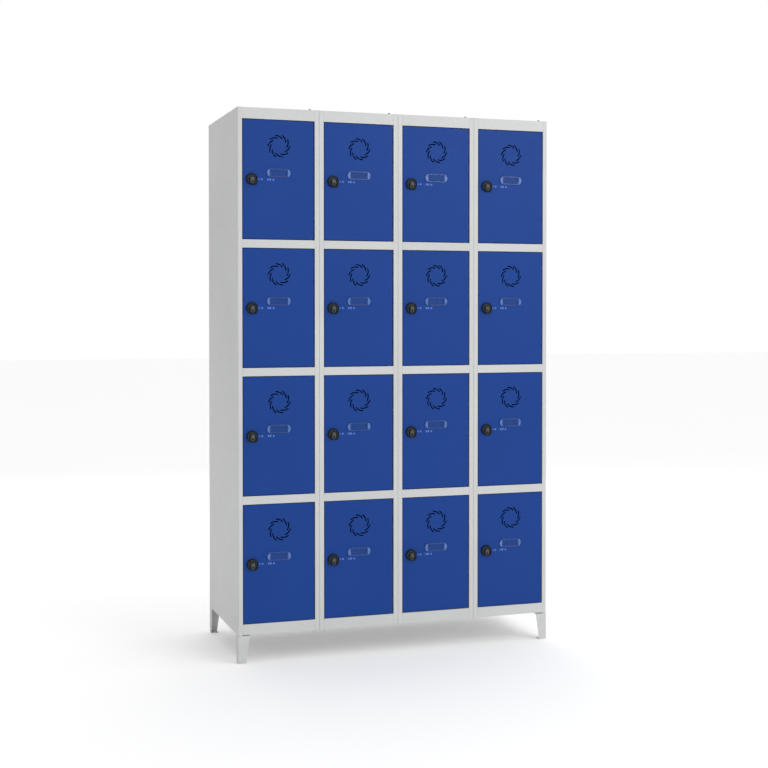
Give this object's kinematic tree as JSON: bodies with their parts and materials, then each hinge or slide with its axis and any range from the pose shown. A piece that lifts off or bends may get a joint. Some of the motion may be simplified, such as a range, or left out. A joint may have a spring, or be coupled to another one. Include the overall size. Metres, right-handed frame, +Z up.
{
  "type": "locker cabinet",
  "caption": "Free-standing steel locker cabinet on corner legs, with inset hinged doors in columns and tiers, curved-slot vents, label holders and turning padlock latches.",
  "frame": {"origin": "on the floor, in the middle of the width and of the depth, latches included", "axes": "front faces -Y, +X to the right seen from the front, +Z up"},
  "size_m": [1.15, 0.516, 1.899],
  "materials": {
    "body_paint": "light grey powder coat, fine texture",
    "door_paint": "blue powder coat, fine texture",
    "latch_plastic": "black moulded plastic",
    "hinge_steel": "plain drawn steel rod",
    "fastener_steel": "zinc-plated steel",
    "label_plastic": "clear moulded plastic",
    "label_card": "plain blank card",
    "mark_print": null
  },
  "bodies": {
    "root": {"left_side_panel": "body_paint", "right_side_panel": "body_paint", "back_panel": "body_paint", "top_panel": "body_paint", "bottom_panel": "body_paint", "partition_1": "body_paint", "partition_2": "body_paint", "partition_3": "body_paint", "leg_front_left": "body_paint", "leg_front_right": "body_paint", "leg_rear_left": "body_paint", "leg_rear_right": "body_paint", "hinge_rod_c1": "hinge_steel", "hinge_rod_c2": "hinge_steel", "hinge_rod_c3": "hinge_steel", "hinge_rod_c4": "hinge_steel", "shelf_c1_1": "body_paint", "shelf_c1_2": "body_paint", "shelf_c1_3": "body_paint", "shelf_c2_1": "body_paint", "shelf_c2_2": "body_paint", "shelf_c2_3": "body_paint", "shelf_c3_1": "body_paint", "shelf_c3_2": "body_paint", "shelf_c3_3": "body_paint", "shelf_c4_1": "body_paint", "shelf_c4_2": "body_paint", "shelf_c4_3": "body_paint"},
    "door_c1_t1": {"door_c1_t1": "door_paint"},
    "latch_c1_t1": {"latch_c1_t1": "latch_plastic"},
    "door_c1_t2": {"door_c1_t2": "door_paint"},
    "latch_c1_t2": {"latch_c1_t2": "latch_plastic"},
    "door_c1_t3": {"door_c1_t3": "door_paint"},
    "latch_c1_t3": {"latch_c1_t3": "latch_plastic"},
    "door_c1_t4": {"door_c1_t4": "door_paint"},
    "latch_c1_t4": {"latch_c1_t4": "latch_plastic"},
    "door_c2_t1": {"door_c2_t1": "door_paint"},
    "latch_c2_t1": {"latch_c2_t1": "latch_plastic"},
    "door_c2_t2": {"door_c2_t2": "door_paint"},
    "latch_c2_t2": {"latch_c2_t2": "latch_plastic"},
    "door_c2_t3": {"door_c2_t3": "door_paint"},
    "latch_c2_t3": {"latch_c2_t3": "latch_plastic"},
    "door_c2_t4": {"door_c2_t4": "door_paint"},
    "latch_c2_t4": {"latch_c2_t4": "latch_plastic"},
    "door_c3_t1": {"door_c3_t1": "door_paint"},
    "latch_c3_t1": {"latch_c3_t1": "latch_plastic"},
    "door_c3_t2": {"door_c3_t2": "door_paint"},
    "latch_c3_t2": {"latch_c3_t2": "latch_plastic"},
    "door_c3_t3": {"door_c3_t3": "door_paint"},
    "latch_c3_t3": {"latch_c3_t3": "latch_plastic"},
    "door_c3_t4": {"door_c3_t4": "door_paint"},
    "latch_c3_t4": {"latch_c3_t4": "latch_plastic"},
    "door_c4_t1": {"door_c4_t1": "door_paint"},
    "latch_c4_t1": {"latch_c4_t1": "latch_plastic"},
    "door_c4_t2": {"door_c4_t2": "door_paint"},
    "latch_c4_t2": {"latch_c4_t2": "latch_plastic"},
    "door_c4_t3": {"door_c4_t3": "door_paint"},
    "latch_c4_t3": {"latch_c4_t3": "latch_plastic"},
    "door_c4_t4": {"door_c4_t4": "door_paint"},
    "latch_c4_t4": {"latch_c4_t4": "latch_plastic"}
  },
  "joints": [
    {"name": "hinge_c1_t1", "type": "hinge", "parent": "root", "child": "door_c1_t1", "pos_m": [-0.3185, -0.2335, 1.65206], "axis": [0, 0, 1], "range_deg": [0, 110]},
    {"name": "turn_c1_t1", "type": "hinge", "parent": "door_c1_t1", "child": "latch_c1_t1", "pos_m": [-0.526, -0.242, 1.65206], "axis": [0, 1, 0], "range_deg": [0, 90]},
    {"name": "hinge_c1_t2", "type": "hinge", "parent": "root", "child": "door_c1_t2", "pos_m": [-0.3185, -0.2335, 1.21419], "axis": [0, 0, 1], "range_deg": [0, 110]},
    {"name": "turn_c1_t2", "type": "hinge", "parent": "door_c1_t2", "child": "latch_c1_t2", "pos_m": [-0.526, -0.242, 1.21419], "axis": [0, 1, 0], "range_deg": [0, 90]},
    {"name": "hinge_c1_t3", "type": "hinge", "parent": "root", "child": "door_c1_t3", "pos_m": [-0.3185, -0.2335, 0.77631], "axis": [0, 0, 1], "range_deg": [0, 110]},
    {"name": "turn_c1_t3", "type": "hinge", "parent": "door_c1_t3", "child": "latch_c1_t3", "pos_m": [-0.526, -0.242, 0.77631], "axis": [0, 1, 0], "range_deg": [0, 90]},
    {"name": "hinge_c1_t4", "type": "hinge", "parent": "root", "child": "door_c1_t4", "pos_m": [-0.3185, -0.2335, 0.33844], "axis": [0, 0, 1], "range_deg": [0, 110]},
    {"name": "turn_c1_t4", "type": "hinge", "parent": "door_c1_t4", "child": "latch_c1_t4", "pos_m": [-0.526, -0.242, 0.33844], "axis": [0, 1, 0], "range_deg": [0, 90]},
    {"name": "hinge_c2_t1", "type": "hinge", "parent": "root", "child": "door_c2_t1", "pos_m": [-0.031, -0.2335, 1.65206], "axis": [0, 0, 1], "range_deg": [0, 110]},
    {"name": "turn_c2_t1", "type": "hinge", "parent": "door_c2_t1", "child": "latch_c2_t1", "pos_m": [-0.2385, -0.242, 1.65206], "axis": [0, 1, 0], "range_deg": [0, 90]},
    {"name": "hinge_c2_t2", "type": "hinge", "parent": "root", "child": "door_c2_t2", "pos_m": [-0.031, -0.2335, 1.21419], "axis": [0, 0, 1], "range_deg": [0, 110]},
    {"name": "turn_c2_t2", "type": "hinge", "parent": "door_c2_t2", "child": "latch_c2_t2", "pos_m": [-0.2385, -0.242, 1.21419], "axis": [0, 1, 0], "range_deg": [0, 90]},
    {"name": "hinge_c2_t3", "type": "hinge", "parent": "root", "child": "door_c2_t3", "pos_m": [-0.031, -0.2335, 0.77631], "axis": [0, 0, 1], "range_deg": [0, 110]},
    {"name": "turn_c2_t3", "type": "hinge", "parent": "door_c2_t3", "child": "latch_c2_t3", "pos_m": [-0.2385, -0.242, 0.77631], "axis": [0, 1, 0], "range_deg": [0, 90]},
    {"name": "hinge_c2_t4", "type": "hinge", "parent": "root", "child": "door_c2_t4", "pos_m": [-0.031, -0.2335, 0.33844], "axis": [0, 0, 1], "range_deg": [0, 110]},
    {"name": "turn_c2_t4", "type": "hinge", "parent": "door_c2_t4", "child": "latch_c2_t4", "pos_m": [-0.2385, -0.242, 0.33844], "axis": [0, 1, 0], "range_deg": [0, 90]},
    {"name": "hinge_c3_t1", "type": "hinge", "parent": "root", "child": "door_c3_t1", "pos_m": [0.2565, -0.2335, 1.65206], "axis": [0, 0, 1], "range_deg": [0, 110]},
    {"name": "turn_c3_t1", "type": "hinge", "parent": "door_c3_t1", "child": "latch_c3_t1", "pos_m": [0.049, -0.242, 1.65206], "axis": [0, 1, 0], "range_deg": [0, 90]},
    {"name": "hinge_c3_t2", "type": "hinge", "parent": "root", "child": "door_c3_t2", "pos_m": [0.2565, -0.2335, 1.21419], "axis": [0, 0, 1], "range_deg": [0, 110]},
    {"name": "turn_c3_t2", "type": "hinge", "parent": "door_c3_t2", "child": "latch_c3_t2", "pos_m": [0.049, -0.242, 1.21419], "axis": [0, 1, 0], "range_deg": [0, 90]},
    {"name": "hinge_c3_t3", "type": "hinge", "parent": "root", "child": "door_c3_t3", "pos_m": [0.2565, -0.2335, 0.77631], "axis": [0, 0, 1], "range_deg": [0, 110]},
    {"name": "turn_c3_t3", "type": "hinge", "parent": "door_c3_t3", "child": "latch_c3_t3", "pos_m": [0.049, -0.242, 0.77631], "axis": [0, 1, 0], "range_deg": [0, 90]},
    {"name": "hinge_c3_t4", "type": "hinge", "parent": "root", "child": "door_c3_t4", "pos_m": [0.2565, -0.2335, 0.33844], "axis": [0, 0, 1], "range_deg": [0, 110]},
    {"name": "turn_c3_t4", "type": "hinge", "parent": "door_c3_t4", "child": "latch_c3_t4", "pos_m": [0.049, -0.242, 0.33844], "axis": [0, 1, 0], "range_deg": [0, 90]},
    {"name": "hinge_c4_t1", "type": "hinge", "parent": "root", "child": "door_c4_t1", "pos_m": [0.544, -0.2335, 1.65206], "axis": [0, 0, 1], "range_deg": [0, 110]},
    {"name": "turn_c4_t1", "type": "hinge", "parent": "door_c4_t1", "child": "latch_c4_t1", "pos_m": [0.3365, -0.242, 1.65206], "axis": [0, 1, 0], "range_deg": [0, 90]},
    {"name": "hinge_c4_t2", "type": "hinge", "parent": "root", "child": "door_c4_t2", "pos_m": [0.544, -0.2335, 1.21419], "axis": [0, 0, 1], "range_deg": [0, 110]},
    {"name": "turn_c4_t2", "type": "hinge", "parent": "door_c4_t2", "child": "latch_c4_t2", "pos_m": [0.3365, -0.242, 1.21419], "axis": [0, 1, 0], "range_deg": [0, 90]},
    {"name": "hinge_c4_t3", "type": "hinge", "parent": "root", "child": "door_c4_t3", "pos_m": [0.544, -0.2335, 0.77631], "axis": [0, 0, 1], "range_deg": [0, 110]},
    {"name": "turn_c4_t3", "type": "hinge", "parent": "door_c4_t3", "child": "latch_c4_t3", "pos_m": [0.3365, -0.242, 0.77631], "axis": [0, 1, 0], "range_deg": [0, 90]},
    {"name": "hinge_c4_t4", "type": "hinge", "parent": "root", "child": "door_c4_t4", "pos_m": [0.544, -0.2335, 0.33844], "axis": [0, 0, 1], "range_deg": [0, 110]},
    {"name": "turn_c4_t4", "type": "hinge", "parent": "door_c4_t4", "child": "latch_c4_t4", "pos_m": [0.3365, -0.242, 0.33844], "axis": [0, 1, 0], "range_deg": [0, 90]}
  ]
}
